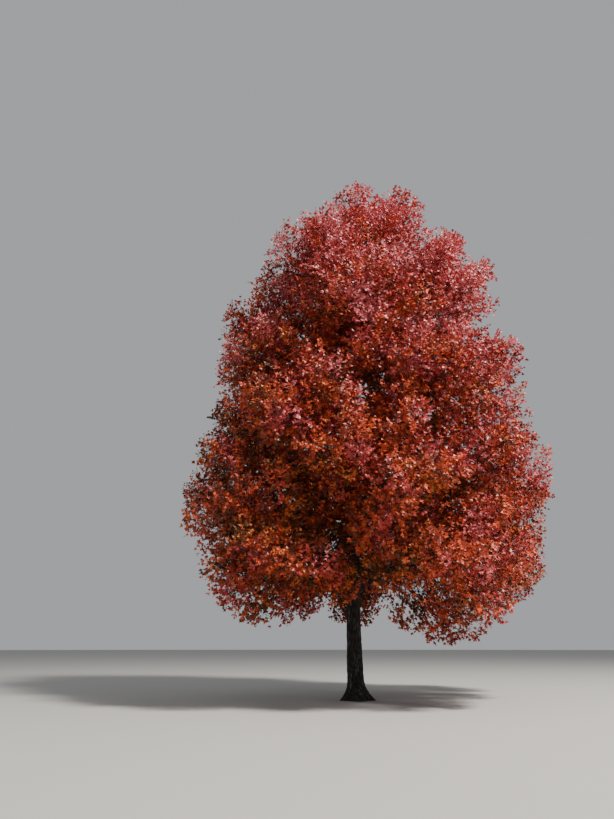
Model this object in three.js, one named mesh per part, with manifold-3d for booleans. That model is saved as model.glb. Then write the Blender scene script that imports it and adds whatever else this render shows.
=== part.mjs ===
// A red maple in full autumn leaf: a whole tree, rooted in level ground, 20 m tall.
// Millimetres, +Z up, origin at the middle of the flat cut at ground level, -Y the side it is seen from.
//
// The trunk is one leader with its root flare. Boughs leave it by the golden angle, each for its own
// mass of foliage. The masses sit on the crown's egg-shaped surface and share its space between them:
// each keeps to a ball, cut flat where it meets its neighbours' balls. Inside its space a mass grows
// from one stem: pairs of opposite twigs, each pair turned a quarter from the last as on any maple,
// with leaves fused on that stand for sprays, round a smaller lumpy core.
import * as THREE from "three";
import { mergeVertices } from "three/addons/utils/BufferGeometryUtils.js";
import Module from "manifold-3d";

const wasm = await Module();
wasm.setup();

// The whole tree.
const TREE_HEIGHT = 20000;
const CROWN_WIDTH = 13500;
const MASS_RADIUS = 3170; // of the ball that a mass of foliage grows in
const CLEARANCE = 0.3; // between two pieces that touch
const SMALLEST_DETAIL = 0.1; // less than this off flat counts as flat

// The trunk.
const TRUNK_DIAMETER = 520; // at breast height
const BREAST_HEIGHT = 1400;
const LEADER_TOP = 15600;
const TAPER_END = 18400; // where the leader's taper would come to nothing
const TAPER_POWER = 1.3;
const FLARE = { spread: 340, height: 620, roots: 5, lobe: 0.28, phase: 0.6 };
const LEAN = { leader: 450, butt: 60, buttHeight: 800, sway: 90, swayHeight: 2600 };
const TRUNK_SIDES = 14;

// The crown's shape, as the surface on which the middles of its masses lie.
const TOP_REACH = 0.96; // how far above its middle the top mass reaches, in radii
const LOWEST_CENTRE = 3680;
const CROWN_WAIST = 4300; // the crown's widest level
const CROWN_FULLNESS = 2.27; // 2 would make its outline an ellipse
const TOP_CENTRE = TREE_HEIGHT - TOP_REACH * MASS_RADIUS;
const CENTRE_RADIUS = CROWN_WIDTH / 2 - MASS_RADIUS;
const CROWN_OFFSET = { foot: -160, top: 1240 }; // the crown stands to +X of its trunk
const FRONT_RISE = { lift: 1200, upTo: 8200 }; // its base is higher in front and behind
const LONG_BOUGH = { azimuth: 0, height: 9000, push: 1140, drop: 2200 }; // its far tip on the right

// The masses of foliage.
const MASS_COUNT = 27;
const GOLDEN_ANGLE = Math.PI * (3 - Math.sqrt(5));
const FIRST_AZIMUTH = -0.82; // sets the outline's bulges and notches where they are
const UNEVEN = 0.056; // how far a mass's radius departs from even, up or down
const SPACE_MARGIN = 12; // kept free on each side of the wall between two masses
const LIMB_MARGIN = 6; // kept free round every limb that isn't the mass's own stem
const CROWN_SEED = 74;
const FOLIAGE_SEED = 3000;

// Boughs leave the trunk below the masses that they carry. Higher masses grow from the leader.
const BOUGH = { root: 0.46, least: 52, tip: 46, narrowing: 0.8, arch: 0.1, sides: 5, steps: 3 };
const FORK = { rise: 0.42, below: 470, lowest: 3300, apart: 40, highest: LEADER_TOP - 500 };
const HIGHEST_BOUGH_MASS = 12200;
const ENTRY = 0.62; // a bough ends this far from its mass's middle, in radii

// The stem of a mass, and how much its tip points upwards at three levels of the crown.
const STEM = { base: 42, tip: 14, share: 0.85, rise: 700, bend: 0.5, sides: 5, steps: 3 };
const LIFT = { lowest: -0.9, middle: 0.35, highest: 2.6, from: 4000, to: 9000 };

// Twigs and leaves. A leaf's root is sunk in its twig.
const TWIG = { pairs: 3, first: 0.4, last: 0.9, wide: 1.6, narrow: 0.9, stray: 0.3 };
const TWIG_SIZE = { radius: 32, share: 0.7, tip: 8, sides: 3 };
const LEAF = { length: 2100, width: 1.05, thickness: 0.03, widest: 0.62, rib: 0.15, tilt: 0.5 };
const LEAF_SIZES = [1, 0.85, 0.7, 0.55]; // tried in turn until one stays clear
const LEAF_SHARE = 0.7; // how much of a twig's way its end leaf may take up
const REACH = 0.98; // how much of the way to the edge of its mass's space a leaf goes
const END_SINK = 120;
const NODE = { share: 0.6, angle: 1.0, stray: 0.8, sink: 3 };

// The core is a lens that lies in the crown's surface. Its sizes are in radii of the mass.
const CORE = { along: 0.96, across: 0.7, deep: 0.17, lump: 0.12, waves: 4, within: 0.93 };

const LOOKS = {
  bark: { color: 0x3a332e, roughness: 0.95, metalness: 0 },
  crimson: { color: 0x8e2a2c, roughness: 0.6, metalness: 0 },
  scarlet: { color: 0x9e3524, roughness: 0.6, metalness: 0 },
  russet: { color: 0x8a3f1c, roughness: 0.65, metalness: 0 },
};

const TINTS = ["crimson", "scarlet", "russet"];

const UP = new THREE.Vector3(0, 0, 1);
const { lerp, clamp, smoothstep } = THREE.MathUtils;

// A whole-number generator that gives the same run of numbers wherever it is written.
function seededRandom(seed) {
  let state = seed >>> 0;
  return () => {
    state = (state + 0x6d2b79f5) >>> 0;
    let t = Math.imul(state ^ (state >>> 15), state | 1);
    t ^= t + Math.imul(t ^ (t >>> 7), t | 61);
    return ((t ^ (t >>> 14)) >>> 0) / 4294967296;
  };
}

function randomVector(random) {
  return new THREE.Vector3(2 * random() - 1, 2 * random() - 1, 2 * random() - 1);
}

// Solids: three.js makes the shapes, and the booleans join and cut them.
function solidOf(geometry) {
  const bare = new THREE.BufferGeometry();
  bare.setAttribute("position", geometry.getAttribute("position"));
  bare.setIndex(geometry.index);
  const merged = mergeVertices(bare, 1e-2);
  const triVerts = new Uint32Array(merged.index.array);
  const vertProperties = merged.getAttribute("position").array;
  const mesh = new wasm.Mesh({ numProp: 3, vertProperties, triVerts });
  return new wasm.Manifold(mesh).simplify(SMALLEST_DETAIL);
}

function geometryOf(solid) {
  const { vertProperties, triVerts } = solid.getMesh();
  const geometry = new THREE.BufferGeometry();
  geometry.setAttribute("position", new THREE.BufferAttribute(vertProperties, 3));
  geometry.setIndex(new THREE.BufferAttribute(triVerts, 1));
  geometry.computeVertexNormals();
  return geometry;
}

// The one body that is kept when a cut or a join leaves loose scraps.
function largestBody(solid) {
  return solid.decompose().sort((a, b) => b.volume() - a.volume())[0];
}

// A straight three-sided twig.
function twigGeometry({ start, end, radius }) {
  const along = end.clone().sub(start);
  const length = along.length();
  const geometry = new THREE.CylinderGeometry(TWIG_SIZE.tip, radius, length, TWIG_SIZE.sides, 1);
  geometry.translate(0, length / 2, 0);
  const turn = new THREE.Quaternion();
  turn.setFromUnitVectors(new THREE.Vector3(0, 1, 0), along.normalize());
  geometry.applyQuaternion(turn);
  geometry.translate(start.x, start.y, start.z);
  return geometry;
}

// A limb: a unit cylinder whose rings are carried along a curve, each to its own radius.
function limbGeometry(curve, radiusAt, sides, steps) {
  const geometry = new THREE.CylinderGeometry(1, 1, 1, sides, steps);
  const { normals, binormals } = curve.computeFrenetFrames(steps, false);
  const position = geometry.getAttribute("position");
  const point = new THREE.Vector3();
  for (let i = 0; i < position.count; i++) {
    point.fromBufferAttribute(position, i);
    const step = Math.round((point.y + 0.5) * steps);
    const radius = radiusAt(step / steps);
    const ring = curve.getPointAt(step / steps);
    ring.addScaledVector(normals[step], point.x * radius);
    ring.addScaledVector(binormals[step], -point.z * radius);
    position.setXYZ(i, ring.x, ring.y, ring.z);
  }
  return geometry;
}

// The trunk's middle and its radius at a height, before the roots spread.
function trunkCentre(z) {
  const share = z / LEADER_TOP;
  const butt = LEAN.butt * Math.exp(-z / LEAN.buttHeight);
  const sway = LEAN.sway * Math.sin(z / LEAN.swayHeight);
  return new THREE.Vector3(LEAN.leader * share * share + butt - LEAN.butt, sway, z);
}

function trunkRadius(z) {
  const share = (TAPER_END - z) / (TAPER_END - BREAST_HEIGHT);
  return (TRUNK_DIAMETER / 2) * Math.pow(share, TAPER_POWER);
}

function rootSpread(z, azimuth) {
  const share = Math.max(0, 1 - z / FLARE.height);
  const lobes = 1 + FLARE.lobe * (Math.cos(FLARE.roots * azimuth + FLARE.phase) - 1);
  return FLARE.spread * share * share * lobes;
}

// Rings stand close together in the flare and further apart above it.
function ringHeights() {
  const flare = [0, 0.12, 0.3, 0.6, 1].map((share) => share * FLARE.height);
  const shaft = [1500, 3000, 5000, 7000, 9200, 11400, 13600, LEADER_TOP];
  return [...flare, ...shaft];
}

function trunkGeometry(grow) {
  const heights = ringHeights();
  const steps = heights.length - 1;
  const geometry = new THREE.CylinderGeometry(1, 1, 1, TRUNK_SIDES, steps);
  geometry.rotateX(Math.PI / 2);
  const position = geometry.getAttribute("position");
  for (let i = 0; i < position.count; i++) {
    const z = heights[Math.round((position.getZ(i) + 0.5) * steps)];
    const x = position.getX(i);
    const y = position.getY(i);
    const azimuth = Math.atan2(y, x);
    const radius = trunkRadius(z) + rootSpread(z, azimuth) + grow;
    const middle = trunkCentre(z);
    position.setXYZ(i, middle.x + x * radius, middle.y + y * radius, z);
  }
  return geometry;
}

// The radius, at a height, of the surface on which the masses' middles lie.
function centreRadius(z) {
  const share = Math.abs(z - CROWN_WAIST) / (TOP_CENTRE - CROWN_WAIST);
  return CENTRE_RADIUS * Math.pow(Math.max(0, 1 - share ** CROWN_FULLNESS), 1 / CROWN_FULLNESS);
}

function centreSlope(z) {
  const step = 100;
  const level = Math.min(z, TOP_CENTRE - step);
  return (centreRadius(level + step) - centreRadius(level - step)) / (2 * step);
}

// Heights that share that surface's area out evenly, from the lowest middle to the top.
function evenHeights(count) {
  const steps = 400;
  const rise = (TOP_CENTRE - LOWEST_CENTRE) / steps;
  const area = [0];
  for (let i = 0; i < steps; i++) {
    const low = centreRadius(LOWEST_CENTRE + i * rise);
    const high = centreRadius(LOWEST_CENTRE + (i + 1) * rise);
    area.push(area[i] + ((low + high) / 2) * Math.hypot(rise, high - low));
  }
  return Array.from({ length: count }, (_, i) => {
    const wanted = ((i + 0.5) / (count - 0.5)) * area[steps];
    const step = area.findIndex((a) => a >= wanted);
    const part = (wanted - area[step - 1]) / (area[step] - area[step - 1]);
    return LOWEST_CENTRE + (step - 1 + part) * rise;
  });
}

// Where each mass is, how large its ball is, and which way it grows.
function crownMasses() {
  const random = seededRandom(CROWN_SEED);
  const masses = evenHeights(MASS_COUNT).map((level, i) => {
    const azimuth = FIRST_AZIMUTH + i * GOLDEN_ANGLE;
    const out = new THREE.Vector3(Math.cos(azimuth), Math.sin(azimuth), 0);
    const low = clamp((FRONT_RISE.upTo - level) / (FRONT_RISE.upTo - LOWEST_CENTRE), 0, 1);
    const z = level + FRONT_RISE.lift * low * out.y * out.y;
    const radius = MASS_RADIUS * (1 + UNEVEN * (2 * random() - 1));
    const axis = lerp(CROWN_OFFSET.foot, CROWN_OFFSET.top, z / TREE_HEIGHT);
    const outward = out.clone().addScaledVector(UP, -centreSlope(level)).normalize();
    const centre = out.clone().multiplyScalar(centreRadius(level));
    centre.add(new THREE.Vector3(axis, 0, z));
    return { index: i, out, outward, centre, radius, leading: i === MASS_COUNT - 1 };
  });
  const far = masses.reduce((best, mass) => (offBough(mass) < offBough(best) ? mass : best));
  far.centre.addScaledVector(far.out, LONG_BOUGH.push).addScaledVector(UP, -LONG_BOUGH.drop);
  return masses;
}

// How far a mass lies from where the longest bough points.
function offBough(mass) {
  const turn = Math.abs(Math.atan2(mass.out.y, mass.out.x) - LONG_BOUGH.azimuth);
  return turn * CENTRE_RADIUS + Math.abs(mass.centre.z - LONG_BOUGH.height);
}

// A mass's space: its ball, less what lies past the walls it shares with its neighbours.
function spaceOf(mass, masses) {
  const walls = masses
    .filter((other) => other !== mass)
    .map((other) => {
      const normal = other.centre.clone().sub(mass.centre);
      const apart = normal.length();
      const halfway = (apart * apart + mass.radius ** 2 - other.radius ** 2) / (2 * apart);
      return { normal: normal.normalize(), offset: halfway - SPACE_MARGIN };
    })
    .filter((wall) => wall.offset < mass.radius);
  const holds = (point) => {
    const away = point.clone().sub(mass.centre);
    const inside = walls.every(({ normal, offset }) => away.dot(normal) < offset);
    return inside && away.length() < mass.radius;
  };
  // How far a straight line from a point inside runs before it leaves the space.
  const roomAlong = (start, direction) => {
    const away = start.clone().sub(mass.centre);
    const b = away.dot(direction);
    const ball = -b + Math.sqrt(Math.max(0, b * b - away.lengthSq() + mass.radius ** 2));
    const flats = walls.map(({ normal, offset }) => {
      const speed = direction.dot(normal);
      return speed > 1e-6 ? (offset - away.dot(normal)) / speed : Infinity;
    });
    return Math.max(0, Math.min(ball, ...flats));
  };
  return { holds, roomAlong };
}

// Where a mass's limb leaves the trunk. The lowest forks stand a little apart in height.
function forkOf(mass) {
  const level = mass.centre.z - FORK.rise * mass.out.dot(mass.centre) - FORK.below;
  return trunkCentre(clamp(level, FORK.lowest + FORK.apart * mass.index, FORK.highest));
}

// The line of a bough from inside the trunk to where it enters its mass.
function boughCurve(mass) {
  const start = forkOf(mass);
  const toMass = mass.centre.clone().sub(start);
  const length = toMass.length() - ENTRY * mass.radius;
  const end = start.clone().addScaledVector(toMass.normalize(), length);
  const bend = start.clone().lerp(end, 0.5).addScaledVector(UP, BOUGH.arch * length);
  return new THREE.QuadraticBezierCurve3(start, bend, end);
}

function boughRadius(mass) {
  const root = Math.max(BOUGH.least, BOUGH.root * trunkRadius(forkOf(mass).z));
  const tip = Math.min(BOUGH.tip, BOUGH.narrowing * root);
  return (share) => lerp(root, tip, share);
}

// The way a mass grows at its middle: outwards, and more and more upwards towards the top.
function growth(mass) {
  const low = smoothstep(mass.centre.z, LIFT.from, LIFT.to);
  const high = smoothstep(mass.centre.z, LIFT.to, TREE_HEIGHT);
  const upwards = lerp(lerp(LIFT.lowest, LIFT.middle, low), LIFT.highest, high);
  return mass.out.clone().addScaledVector(UP, upwards).normalize();
}

// The line of a mass's stem: on from its bough's tip, on from the leader's, or out of the trunk.
function stemCurve(mass, bough, space) {
  const way = growth(mass);
  const room = REACH * space.roomAlong(mass.centre, way);
  const tip = mass.centre.clone().addScaledVector(way, room - leafFor(room));
  let start = forkOf(mass);
  let heading = mass.centre.clone().sub(start).addScaledVector(UP, STEM.rise).normalize();
  if (bough) {
    heading = bough.getTangent(1);
    start = bough.getPoint(1).addScaledVector(heading, CLEARANCE);
  } else if (mass.leading) {
    heading = UP.clone();
    start = trunkCentre(LEADER_TOP).addScaledVector(heading, CLEARANCE);
  }
  const bend = start.clone().addScaledVector(heading, STEM.bend * tip.distanceTo(start));
  return new THREE.QuadraticBezierCurve3(start, bend, tip);
}

function stemRadius(mass, bough) {
  const carrier = bough ? BOUGH.tip : trunkRadius(mass.leading ? LEADER_TOP : forkOf(mass).z);
  const base = Math.min(STEM.base, STEM.share * carrier);
  return (share) => lerp(base, STEM.tip, share);
}

// A flat leaf of eight faces: an octahedron drawn out from its root to its tip.
function leafGeometry({ root, direction, face, length }) {
  const geometry = new THREE.OctahedronGeometry(1);
  const side = new THREE.Vector3().crossVectors(face, direction).normalize();
  const normal = new THREE.Vector3().crossVectors(direction, side);
  const position = geometry.getAttribute("position");
  for (let i = 0; i < position.count; i++) {
    const across = position.getY(i);
    const thick = position.getZ(i);
    const middle = Math.abs(across) > Math.abs(thick) ? LEAF.widest : LEAF.rib;
    const along = across || thick ? middle : (position.getX(i) + 1) / 2;
    const point = root.clone().addScaledVector(direction, along * length);
    point.addScaledVector(side, (across * LEAF.width * length) / 2);
    point.addScaledVector(normal, (thick * LEAF.thickness * length) / 2);
    position.setXYZ(i, point.x, point.y, point.z);
  }
  return geometry;
}

function everyVertex(geometry, test) {
  const position = geometry.getAttribute("position");
  const point = new THREE.Vector3();
  for (let i = 0; i < position.count; i++) {
    if (!test(point.fromBufferAttribute(position, i))) return false;
  }
  return true;
}

// Whether two solids share any volume. Their boxes tell most pairs apart.
function meets(solid, other) {
  const a = solid.boundingBox();
  const b = other.boundingBox();
  const apart = [0, 1, 2].some((axis) => a.min[axis] > b.max[axis] || b.min[axis] > a.max[axis]);
  return !apart && !solid.intersect(other).isEmpty();
}

// The lumpy lens of close foliage round the tip of a mass's stem.
function coreGeometry(mass, middle, space, random) {
  const geometry = new THREE.OctahedronGeometry(1, 1);
  const phases = [random(), random(), random()].map((share) => share * 2 * Math.PI);
  const position = geometry.getAttribute("position");
  const point = new THREE.Vector3();
  for (let i = 0; i < position.count; i++) {
    point.fromBufferAttribute(position, i).normalize();
    const waves = phases.map((phase, axis) => {
      return Math.sin(CORE.waves * point.getComponent(axis) + phase);
    });
    const wave = (waves[0] + waves[1] + waves[2]) / waves.length;
    const depth = point.dot(mass.outward);
    const flat = Math.hypot(Math.sqrt(1 - depth * depth) / CORE.across, depth / CORE.deep);
    const radius = (mass.radius / flat) * (1 + CORE.lump * wave);
    const room = CORE.within * space.roomAlong(middle, point);
    point.multiplyScalar(Math.min(radius, room)).add(middle);
    position.setXYZ(i, point.x, point.y, point.z);
  }
  return geometry;
}

// The length of a leaf that ends a twig with this much room.
function leafFor(room) {
  return Math.min(LEAF.length, LEAF_SHARE * room);
}

// A unit vector at an angle from a direction, turned about it from a given side.
function branchOff(direction, side, turn, angle) {
  const across = side.clone().applyAxisAngle(direction, turn);
  return direction.clone().multiplyScalar(Math.cos(angle)).addScaledVector(across, Math.sin(angle));
}

// Twigs leave the stem in opposite pairs, each pair turned a quarter from the last.
function twigLines(mass, { curve, radiusAt }, space, random) {
  const level = new THREE.Vector3().crossVectors(UP, mass.out);
  const lines = [];
  for (let pair = 0; pair < TWIG.pairs; pair++) {
    const share = lerp(TWIG.first, TWIG.last, pair / (TWIG.pairs - 1));
    const start = curve.getPointAt(share);
    const ahead = curve.getTangentAt(share);
    const side = new THREE.Vector3().crossVectors(ahead, level).normalize();
    const angle = lerp(TWIG.wide, TWIG.narrow, pair / (TWIG.pairs - 1));
    for (const half of [0, Math.PI]) {
      const turn = half + (pair * Math.PI) / 2 + TWIG.stray * (2 * random() - 1);
      const direction = branchOff(ahead, side, turn, angle);
      const room = REACH * space.roomAlong(start, direction);
      const end = start.clone().addScaledVector(direction, room - leafFor(room));
      const radius = Math.min(TWIG_SIZE.radius, TWIG_SIZE.share * radiusAt(share));
      lines.push({ start, end, direction, radius });
    }
  }
  return lines;
}

// Leaves end the stem and every twig, and one more stands on each twig's outer side.
function leafSites(mass, { curve }, twigs, space, random) {
  const site = (node, direction, sink, twig) => {
    const length = Math.min(LEAF.length, REACH * space.roomAlong(node, direction));
    sites.push({ node, direction, sink, twig, length });
  };
  const sites = [];
  site(curve.getPoint(1), curve.getTangent(1), END_SINK);
  for (const twig of twigs) {
    site(twig.end, twig.direction, END_SINK, twig);
  }
  for (const twig of twigs) {
    const node = twig.start.clone().lerp(twig.end, NODE.share);
    const side = mass.outward.clone().addScaledVector(randomVector(random), NODE.stray);
    side.addScaledVector(twig.direction, -side.dot(twig.direction)).normalize();
    site(node, branchOff(twig.direction, side, 0, NODE.angle), NODE.sink, twig);
  }
  return sites;
}

// One mass of foliage, as a single solid.
function growMass(mass, stem, space, limbs) {
  const random = seededRandom(FOLIAGE_SEED + mass.index);
  const clear = (geometry, solid, others) => {
    return everyVertex(geometry, space.holds) && !others.some((other) => meets(solid, other));
  };
  const twigs = twigLines(mass, stem, space, random).filter((twig) => {
    const geometry = twigGeometry(twig);
    twig.solid = solidOf(geometry);
    return clear(geometry, twig.solid, limbs);
  });
  const leaves = [];
  for (const { node, direction, sink, twig, length } of leafSites(mass, stem, twigs, space, random)) {
    const outwards = node.clone().sub(mass.centre).normalize();
    const face = outwards.addScaledVector(randomVector(random), LEAF.tilt);
    const root = node.clone().addScaledVector(direction, -sink);
    const strangers = twigs.filter((other) => other !== twig).map((other) => other.solid);
    const neighbours = leaves.filter((leaf) => leaf.node !== node).map((leaf) => leaf.solid);
    for (const size of LEAF_SIZES) {
      const geometry = leafGeometry({ root, direction, face, length: size * length });
      const solid = solidOf(geometry);
      if (clear(geometry, solid, [...limbs, ...strangers, ...neighbours])) {
        leaves.push({ node, solid });
        break;
      }
    }
  }
  const lens = solidOf(coreGeometry(mass, stem.curve.getPoint(CORE.along), space, random));
  const core = wasm.Manifold.difference([lens, ...limbs]);
  const pieces = [stem, ...twigs, ...leaves].map((piece) => piece.solid);
  return largestBody(wasm.Manifold.union([...pieces, largestBody(core)])).simplify(SMALLEST_DETAIL);
}

const trunk = solidOf(trunkGeometry(0));
const trunkWithGap = solidOf(trunkGeometry(CLEARANCE));
const trunkGuard = solidOf(trunkGeometry(LIMB_MARGIN));

// A limb, with the thicker guard that foliage keeps out of.
function limb(curve, radiusAt, { sides, steps }) {
  const thicker = (share) => radiusAt(share) + LIMB_MARGIN;
  const whole = solidOf(limbGeometry(curve, radiusAt, sides, steps));
  const solid = largestBody(whole.subtract(trunkWithGap));
  const guard = solidOf(limbGeometry(curve, thicker, sides, steps));
  return { curve, radiusAt, solid, guard };
}

const masses = crownMasses();
const branches = masses.map((mass) => {
  const space = spaceOf(mass, masses);
  const carried = mass.centre.z < HIGHEST_BOUGH_MASS;
  const bough = carried ? limb(boughCurve(mass), boughRadius(mass), BOUGH) : null;
  const stem = limb(stemCurve(mass, bough?.curve, space), stemRadius(mass, bough), STEM);
  return { mass, space, bough, stem };
});
const boughGuards = branches.filter(({ bough }) => bough).map(({ bough }) => bough.guard);

const group = new THREE.Group();

function addPiece(name, solid, look) {
  const mesh = new THREE.Mesh(geometryOf(solid), new THREE.MeshStandardMaterial(LOOKS[look]));
  mesh.name = name;
  group.add(mesh);
}

const numbered = (name, mass) => `${name}_${String(mass.index + 1).padStart(2, "0")}`;

addPiece("trunk", trunk, "bark");
for (const { mass, bough } of branches) {
  if (bough) addPiece(numbered("bough", mass), bough.solid, "bark");
}
for (const branch of branches) {
  const { mass, stem, space } = branch;
  const otherStems = branches.filter((other) => other !== branch).map((other) => other.stem.guard);
  const foliage = growMass(mass, stem, space, [trunkGuard, ...boughGuards, ...otherStems]);
  addPiece(numbered("foliage", mass), foliage, TINTS[mass.index % TINTS.length]);
}

export default group;
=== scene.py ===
# %% [markdown]
# # A red maple in full autumn leaf
# This lesson dresses the solid model of a 20 m red maple: bark on its trunk and boughs, then twigs and
# leaves in place of its plain masses of foliage. Everything is in metres, +Z up, and the origin lies in
# the middle of the flat cut at ground level. The solid model comes in first and never moves, so each
# new piece can be worked out from the same sizes and put straight into its place.

# %% The solid model
import math
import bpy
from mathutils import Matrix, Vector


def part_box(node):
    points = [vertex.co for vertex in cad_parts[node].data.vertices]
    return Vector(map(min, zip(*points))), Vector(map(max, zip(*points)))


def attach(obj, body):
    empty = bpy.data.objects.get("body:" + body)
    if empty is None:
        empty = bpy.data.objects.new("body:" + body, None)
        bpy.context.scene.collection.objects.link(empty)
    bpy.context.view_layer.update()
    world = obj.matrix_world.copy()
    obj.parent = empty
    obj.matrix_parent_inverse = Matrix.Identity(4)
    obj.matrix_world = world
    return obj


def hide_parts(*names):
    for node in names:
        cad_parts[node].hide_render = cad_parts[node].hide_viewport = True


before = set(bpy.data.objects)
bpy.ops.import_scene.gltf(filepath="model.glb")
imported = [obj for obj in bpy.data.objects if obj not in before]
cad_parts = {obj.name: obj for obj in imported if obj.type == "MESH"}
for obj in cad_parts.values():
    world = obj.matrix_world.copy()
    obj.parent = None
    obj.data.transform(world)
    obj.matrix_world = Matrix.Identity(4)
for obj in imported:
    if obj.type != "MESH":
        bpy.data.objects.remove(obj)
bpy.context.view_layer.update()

from types import SimpleNamespace

import bmesh
import bpy
import numpy as np
from mathutils import Vector, noise

foliage_nodes = sorted(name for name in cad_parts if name.startswith("foliage"))

# %% [markdown]
# ## The camera
# The tree was seen from the lawn, 22 m away and at eye height, with the camera tilted up so far that
# upright lines lean together. The field of view was worked out from where the trunk's foot, the
# horizon and the top stand in the frame. Turning the camera a little to the left sets the tree to the
# right of the middle, which needs no lens shift.

# %% Camera at the height of an eye
FRAME_HEIGHT_PX = 819
FOCAL_PX = 614
SENSOR = 0.036
FARTHEST_SEEN = 2000.0
EYE_HEIGHT = 1.6
VIEW_DISTANCE = 21.94
TILT_UP = math.radians(21.15)
TURN_LEFT = math.radians(4.23)

camera_data = bpy.data.cameras.new("camera")
camera_data.sensor_width = SENSOR * 1000
camera_data.lens = camera_data.sensor_width * FOCAL_PX / FRAME_HEIGHT_PX
camera_data.clip_end = FARTHEST_SEEN
camera = bpy.data.objects.new("camera", camera_data)
camera.location = (0, -VIEW_DISTANCE, EYE_HEIGHT)
camera.rotation_euler = (math.pi / 2 + TILT_UP, 0, TURN_LEFT)
bpy.context.scene.collection.objects.link(camera)
bpy.context.scene.camera = camera
print("lens", round(camera_data.lens, 2), "mm")

# %% [markdown]
# ## One seed for the whole tree
# A tree's branching looks random but isn't: the same rule repeats at each size. The solid model was
# grown from seeded numbers, and the same small generator is written again here, so that trunk, boughs
# and spaces come out in exactly the same places as in the solids.

# %% Seeded numbers and small helpers
WORD = 0xFFFFFFFF
TINY = 1e-6
UP = np.array((0.0, 0.0, 1.0))


def seeded_random(seed):
    """Numbers from 0 to 1, the same ones each time for the same seed."""
    state = seed & WORD

    def draw():
        nonlocal state
        state = (state + 0x6D2B79F5) & WORD
        mixed = ((state ^ (state >> 15)) * (state | 1)) & WORD
        mixed ^= (mixed + (((mixed ^ (mixed >> 7)) * (mixed | 61)) & WORD)) & WORD
        return ((mixed ^ (mixed >> 14)) & WORD) / 2**32

    return draw


def unit(vectors):
    lengths = np.linalg.norm(vectors, axis=-1, keepdims=True)
    return vectors / np.maximum(lengths, TINY)


def lerp(low, high, share):
    return low + (high - low) * share


def smoothstep(value, low, high):
    share = np.clip((value - low) / (high - low), 0, 1)
    return share * share * (3 - 2 * share)


print("first seeded number", seeded_random(1)())

# %% [markdown]
# ## The trunk's line
# A red maple's trunk is a single leader that leans and sways slightly as it rises, tapers slowly, and
# spreads into root lobes in its lowest half metre. A centre line, a radius and a spread, each a
# function of height, describe all of that.

# %% Trunk line, taper and root flare
TREE_HEIGHT = 20.0
TRUNK_RADIUS = 0.26
BREAST_HEIGHT = 1.4
LEADER_TOP = 15.6
TAPER_END = 18.4
TAPER_POWER = 1.3
FLARE = SimpleNamespace(spread=0.34, height=0.62, roots=5, lobe=0.28, phase=0.6)
LEAN = SimpleNamespace(leader=0.45, butt=0.06, butt_height=0.8, sway=0.09, sway_height=2.6)


def trunk_centre(z):
    z = np.asarray(z, float)
    butt = LEAN.butt * np.exp(-z / LEAN.butt_height) - LEAN.butt
    x = LEAN.leader * (z / LEADER_TOP) ** 2 + butt
    return np.stack([x, LEAN.sway * np.sin(z / LEAN.sway_height), z], axis=-1)


def trunk_radius(z):
    return TRUNK_RADIUS * ((TAPER_END - z) / (TAPER_END - BREAST_HEIGHT)) ** TAPER_POWER


def root_spread(z, azimuth):
    share = np.maximum(0, 1 - z / FLARE.height)
    lobes = 1 + FLARE.lobe * (np.cos(FLARE.roots * azimuth + FLARE.phase) - 1)
    return FLARE.spread * share**2 * lobes


print("trunk at breast height:", round(2 * trunk_radius(BREAST_HEIGHT), 3), "m across")

# %% [markdown]
# ## The egg of the crown
# The crown is an egg with its waist a little over 4 m up. Its foliage hangs in 27 masses, whose middles
# lie on a smaller egg inside it. Their heights are chosen so that each has as much of the egg's surface
# to fill as the next.

# %% Egg and heights of the masses
MASS_RADIUS = 3.17
TOP_REACH = 0.96
TOP_CENTRE = TREE_HEIGHT - TOP_REACH * MASS_RADIUS
LOWEST_CENTRE = 3.68
CROWN_WIDTH = 13.5
CENTRE_RADIUS = CROWN_WIDTH / 2 - MASS_RADIUS
CROWN_WAIST = 4.3
CROWN_FULLNESS = 2.27
MASS_COUNT = 27


def centre_radius(z):
    """How far from the crown's axis the middles lie at a height."""
    share = abs(z - CROWN_WAIST) / (TOP_CENTRE - CROWN_WAIST)
    return CENTRE_RADIUS * max(0, 1 - share**CROWN_FULLNESS) ** (1 / CROWN_FULLNESS)


def centre_slope(z, step=0.1):
    level = min(z, TOP_CENTRE - step)
    return (centre_radius(level + step) - centre_radius(level - step)) / (2 * step)


def even_heights(count, steps=400):
    """Heights that give every middle an equal share of the egg's surface."""
    levels = np.linspace(LOWEST_CENTRE, TOP_CENTRE, steps + 1)
    radii = np.array([centre_radius(z) for z in levels])
    rise = levels[1] - levels[0]
    strips = (radii[1:] + radii[:-1]) / 2 * np.hypot(rise, np.diff(radii))
    area = np.concatenate([[0], np.cumsum(strips)])
    wanted = (np.arange(count) + 0.5) / (count - 0.5) * area[-1]
    return np.interp(wanted, area, levels)


print("lowest heights of the middles:", even_heights(MASS_COUNT)[:3])

# %% [markdown]
# ## The masses of foliage
# The masses follow the golden angle up the egg, the way buds follow each other up a shoot, so that no
# side stays bare. The lowest ones stand higher in front and behind, and one bough at the right reaches
# further out and hangs lower than its neighbours.

# %% Middles and sizes of the masses
GOLDEN_ANGLE = math.pi * (3 - math.sqrt(5))
FIRST_AZIMUTH = -0.82
CROWN_OFFSET = SimpleNamespace(foot=-0.16, top=1.24)
FRONT_RISE = SimpleNamespace(lift=1.2, up_to=8.2)
LONG_BOUGH = SimpleNamespace(height=9.0, push=1.14, drop=2.2)
UNEVEN = 0.056
CROWN_SEED = 74


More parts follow.
